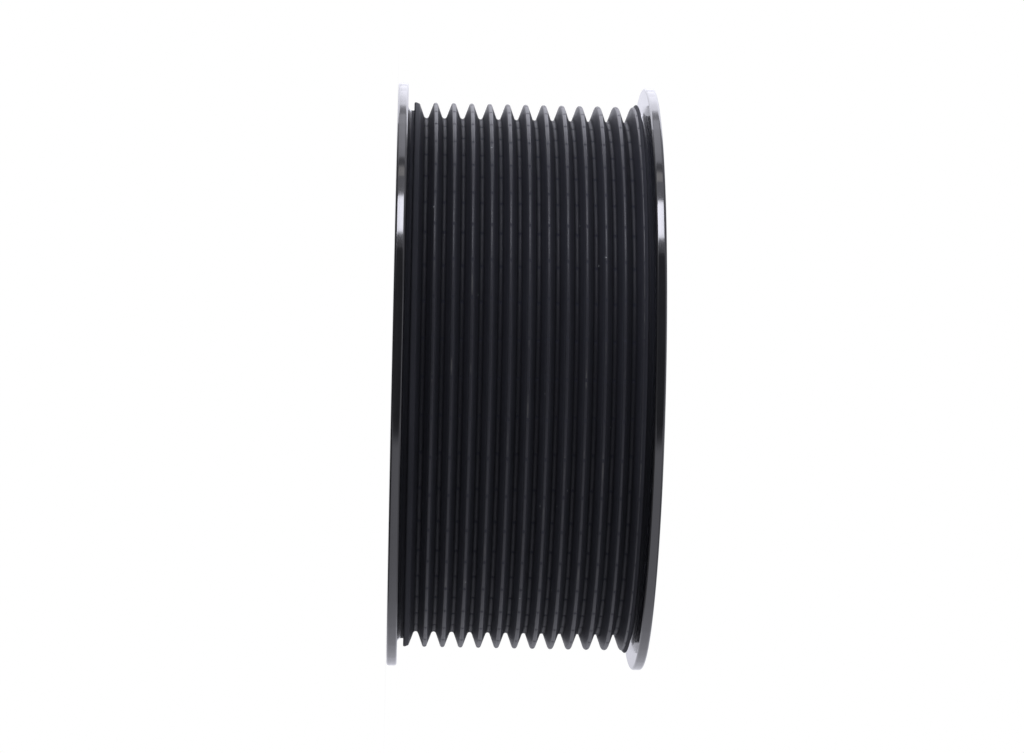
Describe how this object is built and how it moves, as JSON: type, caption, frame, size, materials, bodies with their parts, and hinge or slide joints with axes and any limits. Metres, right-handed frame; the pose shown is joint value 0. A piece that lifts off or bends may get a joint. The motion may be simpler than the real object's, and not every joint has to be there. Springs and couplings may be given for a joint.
{
  "type": "ribbed belt pulley",
  "caption": "Black anodised aluminium multi-rib belt pulley with a thin flange at each end, turned in one piece, with a web, pilot bore and screw circle for its hub.",
  "frame": {"origin": "centre of the lower flange's outer face, which the pulley stands on", "axes": "+Z along the turning axis, from the cup side up to the recessed side"},
  "size_m": [0.1156, 0.1156, 0.0504],
  "materials": {
    "black_anodised": "satin black anodised, turned"
  },
  "bodies": {
    "root": {"pulley": "black_anodised"}
  },
  "joints": []
}
